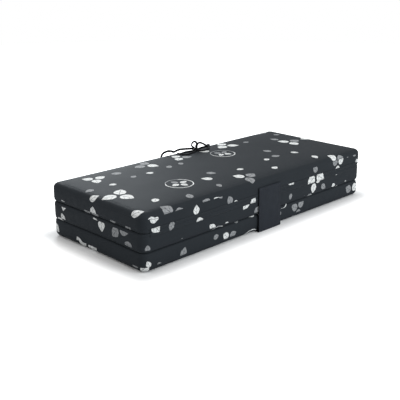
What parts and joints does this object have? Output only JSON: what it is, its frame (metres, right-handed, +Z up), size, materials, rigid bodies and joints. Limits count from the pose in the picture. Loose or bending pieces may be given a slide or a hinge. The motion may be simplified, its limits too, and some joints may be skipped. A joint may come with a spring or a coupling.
{
  "type": "folding mattress",
  "caption": "Foam mattress of hinged panels in zipped dark grey printed covers, folded in a Z, closed by a wide front strap, with a lace bow at the back.",
  "frame": {"origin": "centre of the bottom panel's underside, with the mattress folded", "axes": "+X along the fold lines to the right, +Y to the back where the laces are tied, +Z up through the stack"},
  "size_m": [1.6069, 0.6892, 0.3262],
  "materials": {
    "printed_cloth": "matte",
    "hinge_cloth": "matte",
    "strap_cloth": "matte",
    "foam": "matte",
    "zip_tape": "matte",
    "zip_metal": "satin",
    "hook_tape": "matte",
    "loop_tape": "matte",
    "lace_cord": "matte",
    "lace_tip": "satin"
  },
  "bodies": {
    "bottom_panel": {"bottom_foam_core": "foam", "bottom_cover_upper": "printed_cloth", "bottom_cover_border": "printed_cloth", "bottom_cover_lower": "printed_cloth", "bottom_zip_upper_tape": "zip_tape", "bottom_zip_lower_tape": "zip_tape", "back_hinge_lower_flap": "hinge_cloth", "strap_foot": "strap_cloth"},
    "middle_panel": {"middle_foam_core": "foam", "middle_cover_upper": "printed_cloth", "middle_cover_border": "printed_cloth", "middle_cover_lower": "printed_cloth", "middle_zip_upper_tape": "zip_tape", "middle_zip_lower_tape": "zip_tape", "back_hinge_upper_flap": "hinge_cloth", "front_hinge_lower_flap": "hinge_cloth"},
    "top_panel": {"top_foam_core": "foam", "top_cover_upper": "printed_cloth", "top_cover_border": "printed_cloth", "top_cover_lower": "printed_cloth", "top_zip_upper_tape": "zip_tape", "top_zip_lower_tape": "zip_tape", "front_hinge_upper_flap": "hinge_cloth", "strap_loop_pad": "loop_tape", "lace_tab_left": "strap_cloth", "lace_tab_right": "strap_cloth", "lace_left": "lace_cord", "lace_right": "lace_cord", "bow_loop_high": "lace_cord", "bow_loop_right": "lace_cord", "lace_tail_left": "lace_cord", "lace_tail_right": "lace_cord", "bow_knot": "lace_cord", "lace_tip_left": "lace_tip", "lace_tip_right": "lace_tip"},
    "strap": {"closing_strap": "strap_cloth", "strap_hook_pad": "hook_tape"},
    "bottom_slider": {"bottom_zip_slider": "zip_metal"},
    "bottom_pull": {"bottom_zip_pull": "zip_metal"},
    "middle_slider": {"middle_zip_slider": "zip_metal"},
    "middle_pull": {"middle_zip_pull": "zip_metal"},
    "top_slider": {"top_zip_slider": "zip_metal"},
    "top_pull": {"top_zip_pull": "zip_metal"}
  },
  "joints": [
    {"name": "middle_fold", "type": "hinge", "parent": "bottom_panel", "child": "middle_panel", "pos_m": [0, 0.336, 0.0882], "axis": [-1, 0, 0], "range_deg": [0, 180]},
    {"name": "top_fold", "type": "hinge", "parent": "middle_panel", "child": "top_panel", "pos_m": [0, -0.336, 0.1766], "axis": [1, 0, 0], "range_deg": [0, 180]},
    {"name": "strap_swing", "type": "hinge", "parent": "bottom_panel", "child": "strap", "pos_m": [0, -0.3468, 0.0028], "axis": [1, 0, 0], "range_deg": [0, 90]},
    {"name": "bottom_zip_slide", "type": "slide", "parent": "bottom_panel", "child": "bottom_slider", "axis": [0, -1, 0], "range_m": [0, 0.52]},
    {"name": "bottom_pull_turn", "type": "hinge", "parent": "bottom_slider", "child": "bottom_pull", "pos_m": [0.8045, 0.26, 0.044], "axis": [0, 0, -1], "range_deg": [0, 180]},
    {"name": "middle_zip_slide", "type": "slide", "parent": "middle_panel", "child": "middle_slider", "axis": [0, -1, 0], "range_m": [0, 0.52]},
    {"name": "middle_pull_turn", "type": "hinge", "parent": "middle_slider", "child": "middle_pull", "pos_m": [0.8045, 0.26, 0.1324], "axis": [0, 0, -1], "range_deg": [0, 180]},
    {"name": "top_zip_slide", "type": "slide", "parent": "top_panel", "child": "top_slider", "axis": [0, -1, 0], "range_m": [0, 0.52]},
    {"name": "top_pull_turn", "type": "hinge", "parent": "top_slider", "child": "top_pull", "pos_m": [0.8045, 0.26, 0.2208], "axis": [0, 0, -1], "range_deg": [0, 180]}
  ],
  "couplings": [
    {"joint": "strap_swing", "follows": "top_fold", "ratio": 0.5}
  ]
}
